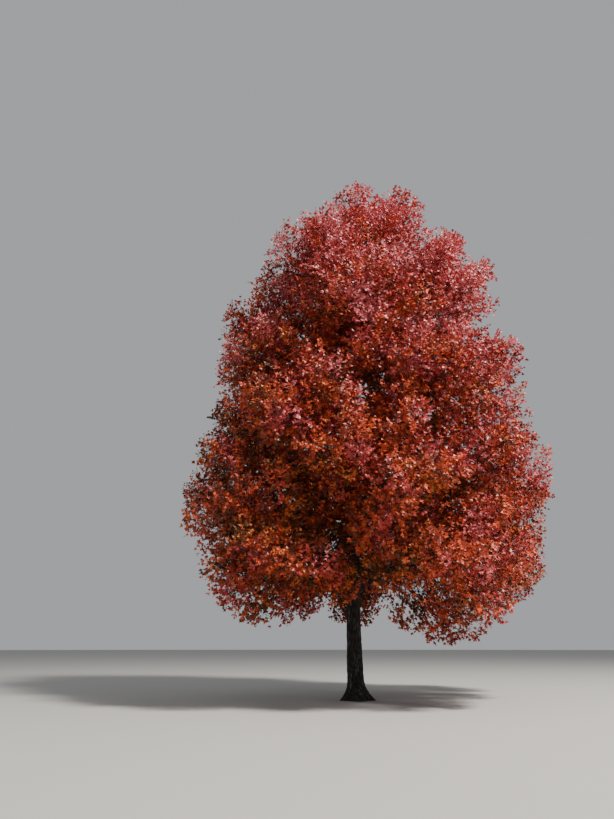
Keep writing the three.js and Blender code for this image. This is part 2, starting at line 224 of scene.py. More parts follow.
def crown_masses():
    draw = seeded_random(CROWN_SEED)
    found = []
    for i, level in enumerate(even_heights(MASS_COUNT)):
        azimuth = FIRST_AZIMUTH + i * GOLDEN_ANGLE
        out = np.array((math.cos(azimuth), math.sin(azimuth), 0.0))
        low = np.clip((FRONT_RISE.up_to - level) / (FRONT_RISE.up_to - LOWEST_CENTRE), 0, 1)
        z = level + FRONT_RISE.lift * low * out[1] ** 2
        axis = np.array((lerp(CROWN_OFFSET.foot, CROWN_OFFSET.top, z / TREE_HEIGHT), 0, z))
        found.append(SimpleNamespace(
            index=i,
            out=out,
            outward=unit(out - centre_slope(level) * UP),
            centre=out * centre_radius(level) + axis,
            radius=MASS_RADIUS * (1 + UNEVEN * (2 * draw() - 1)),
            leading=i == MASS_COUNT - 1,
        ))
    far = min(found, key=off_long_bough)
    far.centre = far.centre + far.out * LONG_BOUGH.push - UP * LONG_BOUGH.drop
    return found


def off_long_bough(mass):
    turn = abs(math.atan2(mass.out[1], mass.out[0]))
    return turn * CENTRE_RADIUS + abs(mass.centre[2] - LONG_BOUGH.height)


masses = crown_masses()
print("highest middle", masses[-1].centre, "lowest", masses[0].centre)

# %% [markdown]
# ## The space of each mass
# Neighbouring branches don't grow through each other: they stop where they would shade each other. So
# each mass keeps to a ball, cut flat by the wall halfway to every neighbour. Two questions are all that
# the growth needs: how far can a shoot run from here, and how deep in the crown's shade does it lie?
# Light reaches a mass from outside the crown, along the crown's skirt partly from below, and the masses
# near the top are lit deeper inside.

# %% Walls between the masses
SPACE_MARGIN = 0.012
SKIRT = SimpleNamespace(from_below=0.8, light=0.7, full=5.5, none=9.5)
TOP = SimpleNamespace(light=0.5, none=9.5, full=14.0)
for mass in masses:
    apart = np.array([other.centre - mass.centre for other in masses if other is not mass])
    radii = np.array([other.radius for other in masses if other is not mass])
    distance = np.linalg.norm(apart, axis=1)
    offsets = (distance**2 + mass.radius**2 - radii**2) / (2 * distance) - SPACE_MARGIN
    near = offsets < mass.radius
    mass.normals = (apart / distance[:, None])[near]
    mass.offsets = offsets[near]


def room_along(mass, starts, ways, rim=0.0):
    """How far one can go each way before the ball, less a rim, or a wall is reached."""
    away = starts - mass.centre
    ahead = (away * ways).sum(1)
    ball = -ahead + np.sqrt(np.maximum(0, ahead**2 - (away**2).sum(1) + mass.radius**2))
    speed = ways @ mass.normals.T
    gap = mass.offsets - away @ mass.normals.T
    flats = np.where(speed > TINY, gap / np.maximum(speed, TINY), np.inf).min(1)
    return np.maximum(0, np.minimum(ball - rim, flats))


def inside(mass, points):
    away = points - mass.centre
    walls = (away @ mass.normals.T < mass.offsets).all(1)
    return walls & (np.linalg.norm(away, axis=1) < mass.radius)


def depth_out(mass, points):
    """From about -1 in the deepest shade to 1 in the open."""
    low = 1 - smoothstep(mass.centre[2], SKIRT.full, SKIRT.none)
    high = smoothstep(mass.centre[2], TOP.none, TOP.full)
    light = unit(mass.outward - UP * SKIRT.from_below * low)
    open_air = SKIRT.light * low + TOP.light * high
    return (points - mass.centre) @ light / mass.radius + open_air


print("walls per mass:", [len(mass.offsets) for mass in masses])

# %% [markdown]
# ## Boughs and stems
# A bough leaves the trunk below the mass that it carries, arches a little upwards and ends where the
# foliage begins. From there one stem goes on to the mass's far side. The highest masses have no bough:
# their stems leave the trunk itself, and the topmost one continues it. Curves with three control
# points are enough, because such a curve keeps inside its points and so inside its mass's space.

# %% Lines of boughs and stems
BOUGH = SimpleNamespace(root=0.46, least=0.052, tip=0.046, narrowing=0.8, arch=0.1)
FORK = SimpleNamespace(rise=0.42, below=0.47, lowest=3.3, apart=0.04, highest=LEADER_TOP - 0.5)
HIGHEST_BOUGH_MASS = 12.2
ENTRY = 0.62
STEM = SimpleNamespace(base=0.042, tip=0.014, share=0.85, rise=0.7, bend=0.5)
LIFT = SimpleNamespace(lowest=-0.9, middle=0.35, highest=2.6, start=4.0, end=9.0)
REACH = 0.98
CLEARANCE = 0.0003
END_LEAF = SimpleNamespace(length=2.1, share=0.7)


def curve(start, bend, end, root, tip):
    """One line with three control points and two radii, kept as arrays of length one."""
    line = SimpleNamespace(start=start, bend=bend, end=end, root=root, tip=tip)
    return SimpleNamespace(**{k: np.atleast_1d(v)[None] for k, v in vars(line).items()})


def bough_of(mass):
    to_mass = mass.centre - mass.fork
    length = np.linalg.norm(to_mass) - ENTRY * mass.radius
    end = mass.fork + unit(to_mass) * length
    bend = (mass.fork + end) / 2 + UP * BOUGH.arch * length
    root = max(BOUGH.least, BOUGH.root * trunk_radius(mass.fork[2]))
    return curve(mass.fork, bend, end, root, min(BOUGH.tip, BOUGH.narrowing * root))


def stem_of(mass):
    z = mass.centre[2]
    low = lerp(LIFT.lowest, LIFT.middle, smoothstep(z, LIFT.start, LIFT.end))
    way = unit(mass.out + UP * lerp(low, LIFT.highest, smoothstep(z, LIFT.end, TREE_HEIGHT)))
    room = REACH * room_along(mass, mass.centre[None], way[None])[0]
    tip = mass.centre + way * (room - min(END_LEAF.length, END_LEAF.share * room))
    start, heading = mass.fork, unit(mass.centre - mass.fork + UP * STEM.rise)
    carrier = trunk_radius(mass.fork[2])
    if mass.bough:
        heading = unit(mass.bough.end[0] - mass.bough.bend[0])
        start, carrier = mass.bough.end[0] + heading * CLEARANCE, BOUGH.tip
    elif mass.leading:
        start, heading = trunk_centre(LEADER_TOP) + UP * CLEARANCE, UP
        carrier = trunk_radius(LEADER_TOP)
    bend = start + heading * STEM.bend * np.linalg.norm(tip - start)
    return curve(start, bend, tip, min(STEM.base, STEM.share * carrier), STEM.tip)


for mass in masses:
    level = mass.centre[2] - FORK.rise * (mass.out @ mass.centre) - FORK.below
    level = np.clip(level, FORK.lowest + FORK.apart * mass.index, FORK.highest)
    mass.fork = trunk_centre(level)
    mass.bough = bough_of(mass) if mass.centre[2] < HIGHEST_BOUGH_MASS else None
    mass.stem = stem_of(mass)

off_middle = []
for mass in masses:
    low, high = (np.array(corner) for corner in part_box(foliage_nodes[mass.index]))
    off_middle.append(np.abs((low + high) / 2 - mass.centre).max())
print("middle of each solid mass lies off by up to", round(max(off_middle), 2), "m")

# %% [markdown]
# ## The rule carried to finer twigs
# Maples branch in opposite pairs, and each pair is turned a quarter from the one below. One rule does it
# at every size: limbs on the stem, twigs on the limbs, shoots on the twigs. Each branch turns a little
# towards the light and stops inside its mass's space. Twigs get shorter towards the end of their limb,
# which draws the limb out to a tuft and gives the crown its tufted edge. Shoots deep in the shade have
# died off long ago, so they are left out, and that keeps the crown open inside.

# %% Sizes of limbs, twigs and shoots
LIMBS = SimpleNamespace(
    first=0.0, last=0.98, spacing=0.18, least_pairs=10, most_pairs=16, wide=2.0, narrow=0.5,
    stray=0.35, rise=0.08, outward=0.1, length=9.0, shorter=0.0, uneven=0.1, least=0.4, arch=0.08,
    shade=(-1.2, -0.9), root=0.62, thinnest=0.012, tip=0.006,
)
TWIGS = SimpleNamespace(
    first=0.2, last=0.97, spacing=0.22, least_pairs=2, most_pairs=12, wide=1.15, narrow=0.6,
    stray=0.5, rise=0.05, outward=0.05, length=1.25, shorter=0.6, uneven=0.2, least=0.2, arch=0.05,
    shade=(-0.6, 0.0), root=0.6, thinnest=0.007, tip=0.0035,
)
SHOOTS = SimpleNamespace(
    first=0.2, last=0.95, spacing=0.33, least_pairs=1, most_pairs=6, wide=0.95, narrow=0.6,
    stray=0.6, rise=0.2, outward=0.1, length=0.5, shorter=0.2, uneven=0.35, least=0.12, arch=0.04,
    shade=(-0.3, 0.35), root=0.7, thinnest=0.0035, tip=0.002,
)
LEAFY_RIM = 0.25
GROWTH_SEED, LEAF_SEED, TINT_SEED = 8400, 16800, 25200
print("a limb is up to", LIMBS.length, "m long, a twig", TWIGS.length, "m, a shoot", SHOOTS.length, "m")

# %% [markdown]
# ## Places along a line
# All the branches of one size in a mass are worked out together as arrays, because there are tens of
# thousands of them. So a set of lines is kept as arrays of their starts, bends, ends and radii, and the
# helpers here find a place on each line, where its pairs stand and which way a side branch sets off.

# %% Helpers for sets of lines
PAIR_JITTER = (0.25, 0.75)
QUARTER_TURN = math.pi / 2
OFF_PLUMB = 1e-3


def along(lines, share):
    """A point on each line and the way ahead there."""
    s = share[:, None]
    point = (1 - s) ** 2 * lines.start + 2 * s * (1 - s) * lines.bend + s**2 * lines.end
    ahead = (1 - s) * (lines.bend - lines.start) + s * (lines.end - lines.bend)
    return point, unit(ahead)


def chosen(lines, which):
    return SimpleNamespace(**{name: values[which] for name, values in vars(lines).items()})


def joined(groups):
    names = vars(groups[0])
    return SimpleNamespace(**{n: np.concatenate([vars(g)[n] for g in groups]) for n in names})


def pair_places(lines, rule, dice):
    """Which line each side branch stands on, its share of the way and its turn about the line."""
    lengths = np.linalg.norm(lines.end - lines.start, axis=1)
    pairs = np.round(lengths * (rule.last - rule.first) / rule.spacing).astype(int)
    pairs = np.clip(pairs, rule.least_pairs, rule.most_pairs)
    line = np.repeat(np.arange(len(pairs)), pairs)
    rank = np.arange(line.size) - np.repeat(np.cumsum(pairs) - pairs, pairs)
    place = (rank + dice.uniform(*PAIR_JITTER, line.size)) / pairs[line]
    phase = dice.uniform(0, QUARTER_TURN, len(pairs))[line] + rank * QUARTER_TURN
    line, share = np.repeat(line, 2), np.repeat(lerp(rule.first, rule.last, place), 2)
    turn = np.repeat(phase, 2) + np.tile([0, math.pi], len(rank))
    return line, share, turn + rule.stray * dice.uniform(-1, 1, turn.size)


def side_way(ahead, turn, angle):
    """Unit vectors at an angle from the way ahead, turned about it."""
    side = unit(np.cross(ahead, UP + OFF_PLUMB))
    across = np.cos(turn)[:, None] * side + np.sin(turn)[:, None] * np.cross(ahead, side)
    return np.cos(angle)[:, None] * ahead + np.sin(angle)[:, None] * across


stem_places = pair_places(masses[0].stem, LIMBS, np.random.default_rng(GROWTH_SEED))
print("limbs that the lowest stem has places for:", len(stem_places[0]))

# %% [markdown]
# ## The growth
# Each size grows on the one before. A branch is as long as the rule wants or as the space allows,
# whichever is less, then a bit shorter by chance, and it sags a little under its own weight. Room for
# the last leaves is kept at the crown's outside, so that they end where the mass does.

# %% Limbs, twigs and shoots


def side_branches(mass, lines, rule, dice):
    line, share, turn = pair_places(lines, rule, dice)
    parents = chosen(lines, line)
    start, ahead = along(parents, share)
    way = side_way(ahead, turn, lerp(rule.wide, rule.narrow, share))
    way = unit(way + rule.rise * UP + rule.outward * mass.outward)
    room = REACH * room_along(mass, start, way, LEAFY_RIM)
    wanted = rule.length * (1 - rule.shorter * share)
    length = np.minimum(wanted, room) * (1 - rule.uneven * dice.uniform(0, 1, share.size))
    end = start + way * length[:, None]
    bend = (start + end) / 2 - UP * (rule.arch * length)[:, None]
    root = np.maximum(rule.thinnest, rule.root * lerp(parents.root[:, 0], parents.tip[:, 0], share))
    tip = np.full_like(root, rule.tip)
    grown = SimpleNamespace(start=start, bend=bend, end=end, root=root[:, None], tip=tip[:, None])
    lit = smoothstep(depth_out(mass, end), *rule.shade) > dice.uniform(0, 1, share.size)
    return chosen(grown, inside(mass, start) & (length > rule.least) & lit)


for mass in masses:
    dice = np.random.default_rng(GROWTH_SEED + mass.index)
    mass.limbs = side_branches(mass, mass.stem, LIMBS, dice)
    mass.twigs = side_branches(mass, joined([mass.stem, mass.limbs]), TWIGS, dice)
    mass.shoots = side_branches(mass, mass.twigs, SHOOTS, dice)

for size in ("limbs", "twigs", "shoots"):
    print(size, sum(len(vars(mass)[size].start) for mass in masses))

# %% [markdown]
# ## Where the leaves stand
# Leaves stand in opposite pairs too, each pair a quarter turn on, with one more at the tip. They hang
# from their stalks with the blade turned to the light, so its upper face looks outwards and upwards,
# each spray and each leaf a little differently. That unevenness makes a crown glitter instead of looking
# like a skin. The leaves are larger than life, since a model can't hold as many as a real maple.

# %% Leaf places
LEAVES_ON = {"shoots": 0.12, "twigs": 0.3, "limbs": 0.72}  # from which share of the line on
LEAF = SimpleNamespace(
    last=1.0, spacing=0.15, least_pairs=1, most_pairs=12, stray=0.5, angle=1.0, end_angle=0.25,
    droop=0.35, loose=0.3, face_out=0.75, face_up=0.45, spray_loose=0.5, face_loose=0.5,
    length=0.13, smaller=0.3, uneven=0.22, shaded=1.45, sunlit=(-0.1, 0.6),
)


def leaf_places(mass, lines, first, dice):
    """Each leaf's base, the way it points, the way across it, its length and its line's number."""
    line, share, turn = pair_places(lines, SimpleNamespace(first=first, **vars(LEAF)), dice)
    ends = np.arange(len(lines.start))
    line = np.concatenate([line, ends])
    share = np.concatenate([share, np.ones(len(ends))])
    turn = np.concatenate([turn, dice.uniform(0, 2 * math.pi, len(ends))])
    angle = np.where(np.arange(line.size) < line.size - len(ends), LEAF.angle, LEAF.end_angle)
    base, ahead = along(chosen(lines, line), share)
    way = side_way(ahead, turn, angle) - LEAF.droop * UP
    way = unit(way + LEAF.loose * dice.normal(0, 1, base.shape))
    face = LEAF.face_out * mass.outward + LEAF.face_up * UP
    face = face + LEAF.spray_loose * dice.normal(0, 1, lines.start.shape)[line]
    face = face + LEAF.face_loose * dice.normal(0, 1, base.shape)
    across = unit(np.cross(face, way))
    size = LEAF.length * (1 - LEAF.smaller * share) / (1 - LEAF.smaller / 2)
    size = size * dice.uniform(1 - LEAF.uneven, 1 + LEAF.uneven, line.size)
    size = size * lerp(LEAF.shaded, 1, smoothstep(depth_out(mass, base), *LEAF.sunlit))
    return SimpleNamespace(base=base, way=way, across=across, size=size, line=line)


for mass in masses:
    dice = np.random.default_rng(LEAF_SEED + mass.index)
    groups, lines_before = [], 0
    for size, first in LEAVES_ON.items():
        lines = vars(mass)[size]
        groups.append(leaf_places(mass, lines, first, dice))
        groups[-1].line += lines_before
        lines_before += len(lines.start)
    mass.leaves = joined(groups)

print("leaves:", sum(len(mass.leaves.size) for mass in masses))

# %% [markdown]
# ## A cone to start from
# Trunk, boughs and twigs are all round limbs that taper along a curve. Each starts as a plain cone
# whose upright edges are cut into rings. A twig's cone keeps its point, so even the finest is closed at
# both ends.

# %% A cone cut into rings


def arrays_of(bm):
    """Places of the vertices and their numbers at each face. The bmesh is done with after that."""
    bm.verts.index_update()
    place = np.array([v.co for v in bm.verts])
    faces = np.array([[v.index for v in f.verts] for f in bm.faces])
    bm.free()
    return place, faces


def ringed_cone(sides, rings, pointed):
    """Azimuth, number of the ring and width factor of each vertex, with the triangles."""
    bm = bmesh.new()
    top = 0 if pointed else 1
    bmesh.ops.create_cone(
        bm, segments=sides, radius1=1, radius2=top, depth=1, cap_ends=True, cap_tris=False,
    )
    upright = [e for e in bm.edges if abs(e.verts[0].co.z - e.verts[1].co.z) > 0.5]
    if rings > 1:
        bmesh.ops.subdivide_edges(bm, edges=upright, cuts=rings - 1)
    bmesh.ops.triangulate(bm, faces=bm.faces[:])
    place, faces = arrays_of(bm)
    azimuth = np.arctan2(place[:, 1], place[:, 0])
    width = (np.hypot(place[:, 0], place[:, 1]) > TINY).astype(float)
    return azimuth, np.round((place[:, 2] + 0.5) * rings).astype(int), width, faces


print("a shoot has", len(ringed_cone(3, 1, True)[3]), "faces")

# %% [markdown]
# ## Tubes along curves
# The rings of a cone are carried along a curve, each to its own radius. That is done for a whole set of
# lines at once, ring by ring, and the arrays go into one mesh.

# %% Tubes and joined meshes
STEEP = 0.8


def joined_mesh(name, places, faces, smooth):
    """A mesh object from arrays, for pieces that hold thousands of small shapes."""
    mesh = bpy.data.meshes.new(name)
    mesh.vertices.add(len(places))
    mesh.vertices.foreach_set("co", np.ascontiguousarray(places, np.float32).ravel())
    mesh.loops.add(faces.size)
    mesh.loops.foreach_set("vertex_index", np.ascontiguousarray(faces, np.int32).ravel())
    mesh.polygons.add(len(faces))
    mesh.polygons.foreach_set("loop_start", np.arange(0, faces.size, faces.shape[1], dtype=np.int32))
    mesh.update(calc_edges=True)
    mesh.validate()
    if smooth:
        mesh.shade_smooth()
    else:
        mesh.shade_flat()
    piece = bpy.data.objects.new(name, mesh)
    bpy.context.scene.collection.objects.link(piece)
    return piece


def tubes(lines, sides, rings):
    """One array of places and one of triangles for a whole set of curved, tapering limbs."""
    azimuth, ring, width, faces = ringed_cone(sides, rings, True)
    count = len(lines.start)
    chord = unit(lines.end - lines.start)
    steep = np.abs(chord @ UP) > STEEP
    reference = np.where(steep[:, None], (1.0, 0.0, 0.0), UP)
    places = np.empty((count, len(azimuth), 3))
    for step in range(rings + 1):
        share = np.full(count, step / rings)
        middle, ahead = along(lines, share)
        side = unit(np.cross(reference, ahead))
        across = np.cross(ahead, side)
        radius = lerp(lines.root, lines.tip, share[:, None])
        for vertex in np.flatnonzero(ring == step):
            spoke = math.cos(azimuth[vertex]) * side + math.sin(azimuth[vertex]) * across
            places[:, vertex] = middle + spoke * radius * width[vertex]
    shifts = np.arange(count)[:, None, None] * len(azimuth)
    return places.reshape(-1, 3), (faces[None] + shifts).reshape(-1, 3)


print("corners of the lowest stem as a tube:", len(tubes(masses[0].stem, 9, 10)[0]))

# %% [markdown]
# ## The bark's relief
# The bark of an old red maple splits into long narrow plates with furrows between them. The plates stand
# upright, a few centimetres wide and some decimetres long, deep on the butt and fading to smooth bark
# higher up. A cell pattern stretched upwards gives such plates: its cells are the plates, and the seam
# between two cells is the furrow. The relief is real geometry, and the same number is kept on each
# vertex so that the painted shade of the furrows follows it.

# %% Plates and furrows
PLATE = SimpleNamespace(width=0.052, height=0.26, edge=0.42, most=1.2)
WANDER = SimpleNamespace(amount=0.05, scale=1.7, way=np.array((1, -1, 2)))
CRUMBS = SimpleNamespace(amount=0.25, scale=3.1, stretch=(1, 1, 2.5))


def bark_relief(points, scale=1.0):
    """From 0 in a furrow to 1 on a plate, for points whose third number runs along the limb."""
    sway = np.array([noise.noise(Vector(p) * WANDER.scale) for p in points])
    moved = points + WANDER.amount * sway[:, None] * WANDER.way
    stretched = moved / (np.array((PLATE.width, PLATE.width, PLATE.height)) * scale)
    near = np.array([noise.voronoi(Vector(p))[0][:2] for p in stretched])
    plate = smoothstep(near[:, 1] - near[:, 0], 0, PLATE.edge)
    crumbs = np.array([noise.noise(Vector(p) * CRUMBS.scale) for p in stretched * CRUMBS.stretch])
    return np.clip(plate * (1 + CRUMBS.amount * crumbs), 0, PLATE.most)


def around(azimuth, radius, height):
    """Points at a radius about a straight axis."""
    return np.stack([np.cos(azimuth) * radius, np.sin(azimuth) * radius, height], axis=-1)


def keep_relief(piece, relief):
    kept = piece.data.attributes.new("relief", "FLOAT", "POINT")
    kept.data.foreach_set("value", np.ascontiguousarray(relief, np.float32))


breast_point = np.array([[TRUNK_RADIUS, 0.0, BREAST_HEIGHT]])
print("relief at breast height:", bark_relief(breast_point))

# %% [markdown]
# ## The trunk
# The solid trunk has only fourteen sides. Here its line, taper and root flare are worked out again for
# many more rings, close together on the butt, where one stands right in front of it, and further apart
# inside the crown. The furrows are cut inwards from the solid's surface.

# %% The trunk in bark
TRUNK_SIDES = 128
TRUNK_RINGS = 330
FURROW = SimpleNamespace(butt=0.017, top=0.004, fades=5.0, at_ground=0.4, full_from=0.15)
RING_CROWDING = 1.75

azimuth, ring, _, faces = ringed_cone(TRUNK_SIDES, TRUNK_RINGS, False)
z = LEADER_TOP * (ring / TRUNK_RINGS) ** RING_CROWDING
radius = trunk_radius(z) + root_spread(z, azimuth)
relief = bark_relief(around(azimuth, radius, z))
furrow = lerp(FURROW.top, FURROW.butt, np.exp(-z / FURROW.fades))
furrow = furrow * lerp(FURROW.at_ground, 1, smoothstep(z, 0, FURROW.full_from))
radius = radius + furrow * (relief - 1)
places = trunk_centre(z) + around(azimuth, radius, np.zeros(len(z)))
trunk_bark = joined_mesh("trunk_bark", places, faces, smooth=True)
keep_relief(trunk_bark, relief)
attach(trunk_bark, "root")
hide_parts("trunk")
print("trunk:", len(faces), "triangles")

# %% [markdown]
# ## The boughs
# Each bough swells into a collar where it leaves the trunk, which is what holds it up on the real tree.
# Its bark is younger than the trunk's, so the plates are smaller and the furrows shallower.

# %% Boughs in bark
BOUGH_SIDES = 22
BOUGH_RING = 0.035
COLLAR = SimpleNamespace(swell=0.55, reach=0.16)
BOUGH_FURROW = 0.0045
BOUGH_PLATE = 0.55
LEAST_BOUGH_RINGS = 8


def bough_bark(mass, name):
    line = mass.bough
    length = float(np.linalg.norm(line.end - line.start))
    rings = max(LEAST_BOUGH_RINGS, round(length / BOUGH_RING))
    azimuth, ring, _, faces = ringed_cone(BOUGH_SIDES, rings, False)
    share = ring / rings
    middle, ahead = along(chosen(line, np.zeros(len(share), int)), share)
    side = unit(np.cross(UP, ahead))
    across = np.cross(ahead, side)
    from_trunk = np.maximum(0, share * length - trunk_radius(mass.fork[2]))
    radius = lerp(line.root[0, 0], line.tip[0, 0], share)
    radius = radius * (1 + COLLAR.swell * np.exp(-from_trunk / COLLAR.reach))
    relief = bark_relief(around(azimuth, radius, share * length) + mass.index, BOUGH_PLATE)
    radius = (radius + BOUGH_FURROW * (relief - 1))[:, None]
    spoke = np.cos(azimuth)[:, None] * side + np.sin(azimuth)[:, None] * across
    piece = joined_mesh(name, middle + spoke * radius, faces, smooth=True)
    keep_relief(piece, relief)
    return piece


bough_barks = []
for mass in masses:
    if mass.bough:
        node = f"bough_{mass.index + 1:02d}"
        piece = bough_bark(mass, node + "_bark")
        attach(piece, "root")
        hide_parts(node)
        bough_barks.append(piece)
print("boughs:", len(bough_barks), "with", sum(len(p.data.polygons) for p in bough_barks), "triangles")

# %% [markdown]
# ## Stems, limbs and twigs
# Inside each mass the wood gets finer at every fork. Thick pieces get more sides and rings, and the
# finest shoots are three-sided spikes, since there are thousands of them. Stems and limbs are joined
# into one piece, twigs into a second and shoots into a third.

# %% Wood inside the crown
SIDES_AND_RINGS = {"stem": (9, 10), "limbs": (6, 6), "twigs": (3, 2), "shoots": (3, 1)}


def wood_piece(name, sizes):
    places, faces, done = [], [], 0
    for size in sizes:
        lines = joined([vars(mass)[size] for mass in masses])
        new_places, new_faces = tubes(lines, *SIDES_AND_RINGS[size])
        places.append(new_places)
        faces.append(new_faces + done)
        done += len(new_places)
    piece = joined_mesh(name, np.concatenate(places), np.concatenate(faces), smooth=True)
    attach(piece, "root")
    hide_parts(*foliage_nodes)
    print(name, len(piece.data.polygons), "triangles")
    return piece


crown_limbs = wood_piece("crown_limbs", ["stem", "limbs"])
crown_twigs = wood_piece("crown_twigs", ["twigs"])
fine_shoots = wood_piece("fine_shoots", ["shoots"])

# %% [markdown]
# ## One maple leaf
# A red maple leaf has three pointed lobes with notches between them. Half of its outline is drawn as
# one face, cut into triangles and mirrored, which gives the whole leaf in four triangles. The lobes fold
# up a little from the midrib and the tip hangs, so the four catch the light differently. There will be
# over two hundred thousand of these, so every face has to earn its place.

# %% Leaf blade
HALF_OUTLINE = ((0, 0, 0), (0.5, 0.46, 0.13), (0.2, 0.56, 0.04), (0, 1, -0.1))
SEAM = 1e-4


def leaf_blade():
    bm = bmesh.new()
    corners = [bm.verts.new(place) for place in HALF_OUTLINE]
    half = bm.faces.new(corners)
    bmesh.ops.triangulate(bm, faces=[half])
    everything = bm.verts[:] + bm.edges[:] + bm.faces[:]
    bmesh.ops.mirror(bm, geom=everything, axis="X", merge_dist=SEAM)
    bmesh.ops.recalc_face_normals(bm, faces=bm.faces[:])
    return arrays_of(bm)


blade, blade_faces = leaf_blade()
print("leaf:", len(blade), "corners,", len(blade_faces), "faces")

# %% [markdown]
# ## Autumn tints, dealt out by spray
# A maple colours from the outside in: sprays in full sun turn crimson and rose, those lower down and
# further in stay scarlet and orange, and the shaded ones are still ochre or umber. Part of this is
# painted light: the darker brick and umber tints gather low down, deep in the crown and away from the
# main light as painted shade, and the paler rose gathers at the top and on the lit side. Each spray of
# leaves turns as one, so the tint is drawn once for each shoot. It depends on the shoot's height, its
# depth in the crown, how far it stands to the sunny side, some luck that neighbouring shoots share and a
# little of its own. Each tint is one plain colour.

# %% Tints
TINTS = {
    "rose": SimpleNamespace(colour="C86468", ripe=0.92, amount=0.8, slot="crimson_foliage"),
    "crimson": SimpleNamespace(colour="AE3A36", ripe=0.78, amount=1.2, slot="crimson_foliage"),
    "wine": SimpleNamespace(colour="702420", ripe=0.7, amount=0.6, slot="crimson_foliage"),
    "scarlet": SimpleNamespace(colour="C24A26", ripe=0.58, amount=1.2, slot="scarlet_foliage"),
    "brick": SimpleNamespace(colour="8E351B", ripe=0.46, amount=1.2, slot="scarlet_foliage"),
    "orange": SimpleNamespace(colour="BC5A22", ripe=0.32, amount=0.7, slot="russet_foliage"),
    "ochre": SimpleNamespace(colour="9C6524", ripe=0.1, amount=0.3, slot="russet_foliage"),
    "umber": SimpleNamespace(colour="56300F", ripe=0.2, amount=1.9, slot="russet_foliage"),
}
# height, depth and sunny_side are partly real ripening and partly painted light: darker tints as painted
# shade low and deep in the crown, paler ones on its lit side
RIPENING_AND_SHADE = SimpleNamespace(
    base=0.5, height=0.28, sunny_side=0.17, depth=0.14, shared=0.52, patches=0.95, own=0.05,
    width=0.09,
)
SUNNY_SIDE = np.array((0.86, -0.5, 0.0))
CROWN_MIDDLE = 10.5
CROWN_HALF = 8.5
CROWN_RADIUS = 6.5


def tint_of_lines(mass, lines, dice):
    """The number of the tint that each line's leaves take."""
    height = (lines.end[:, 2] - CROWN_MIDDLE) / CROWN_HALF
    shared = np.array([noise.noise(Vector(p) * RIPENING_AND_SHADE.patches) for p in lines.end])
    # painted shade and light: sprays low, deep or away from the main light take darker tints, sprays
    # high and on the lit side paler ones
    ripe = RIPENING_AND_SHADE.base + RIPENING_AND_SHADE.height * height + RIPENING_AND_SHADE.depth * depth_out(mass, lines.end)
    ripe = ripe + RIPENING_AND_SHADE.sunny_side * (lines.end @ SUNNY_SIDE) / CROWN_RADIUS
    ripe = ripe + RIPENING_AND_SHADE.shared * shared + RIPENING_AND_SHADE.own * dice.normal(0, 1, len(height))
    kinds = list(TINTS.values())
    wanted = np.array([t.ripe for t in kinds])
    odds = np.exp(-(((np.clip(ripe, 0, 1)[:, None] - wanted) / RIPENING_AND_SHADE.width) ** 2))
    odds = odds * np.array([t.amount for t in kinds])
    total = np.cumsum(odds, axis=1)
    return (total < dice.uniform(0, 1, len(ripe))[:, None] * total[:, -1:]).sum(1)


for mass in masses:
    dice = np.random.default_rng(TINT_SEED + mass.index)
    lines = joined([vars(mass)[size] for size in LEAVES_ON])
    mass.leaves.tint = tint_of_lines(mass, lines, dice)[mass.leaves.line]

dealt = np.bincount(masses[0].leaves.tint, minlength=len(TINTS)).tolist()
print("tints of the leaves in the lowest mass:", dict(zip(TINTS, dealt)))

# %% [markdown]
# ## The leaves
# Every leaf is the same blade, turned, sized and moved to its place. The blades of one tint are joined
# into a piece, and a tint with more than a piece may hold gets several. Each blade also keeps its own
# flat drawing coordinates, on which the veins are drawn.

# %% Leaves joined by tint
MOST_FACES = 190_000
DRAWING_MAP = "OFBake"  # the name of the map that holds each blade's drawing coordinates
DRAWING = SimpleNamespace(size=0.125, stalk=(0.5, 0.44))


def leaf_piece(name, leaves):
    """One mesh of many leaves, with the drawing coordinates of each."""
    face = np.cross(leaves.across, leaves.way)
    size = leaves.size[:, None, None]
    axes = np.stack([leaves.across, leaves.way, face], axis=1)
    places = leaves.base[:, None] + size * (blade @ axes)
    shifts = np.arange(len(leaves.size))[:, None, None] * len(blade)
    faces = (blade_faces[None] + shifts).reshape(-1, 3)
    piece = joined_mesh(name, places.reshape(-1, 3), faces, smooth=False)
    drawing = piece.data.uv_layers.new(name=DRAWING_MAP)
    flat = (blade[:, :2] * DRAWING.size + DRAWING.stalk)[blade_faces.ravel()]
    drawing.data.foreach_set("uv", np.tile(flat, (len(leaves.size), 1)).astype(np.float32).ravel())
    return piece


leaf_pieces = {tint: [] for tint in TINTS}
crown_leaves = joined([mass.leaves for mass in masses])
for number, (tint, kind) in enumerate(TINTS.items()):
    mine = np.flatnonzero(crown_leaves.tint == number)
    parts = max(1, math.ceil(len(mine) * len(blade_faces) / MOST_FACES))
    for part, which in enumerate(np.array_split(mine, parts)):
        name = f"leaves_{tint}" + (f"_{part + 1}" if parts > 1 else "")
        piece = leaf_piece(name, chosen(crown_leaves, which))
        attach(piece, "root")
        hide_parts(*foliage_nodes)
        leaf_pieces[tint].append(piece)
        print(name, len(which), "leaves", len(piece.data.polygons), "triangles")

# %% [markdown]
# ## Helpers for materials
# A material is a set of nodes wired together. Each helper does one step that comes back often: make a
# node, wire two sockets, open a group, mix two colours, do a sum, or move a value to another range.

# %% Node helpers
COLOUR, VALUE, VECTOR = "NodeSocketColor", "NodeSocketFloat", "NodeSocketVector"
NOISE_SPAN = (0.3, 0.7)  # where nearly all values of a noise lie


def linear(hex_colour):
    """A colour as painters write it, turned into the light values that shaders use."""
    values = [int(hex_colour[i:i + 2], 16) / 255 for i in (0, 2, 4)]
    return tuple(v / 12.92 if v <= 0.04045 else ((v + 0.055) / 1.055) ** 2.4 for v in values) + (1,)


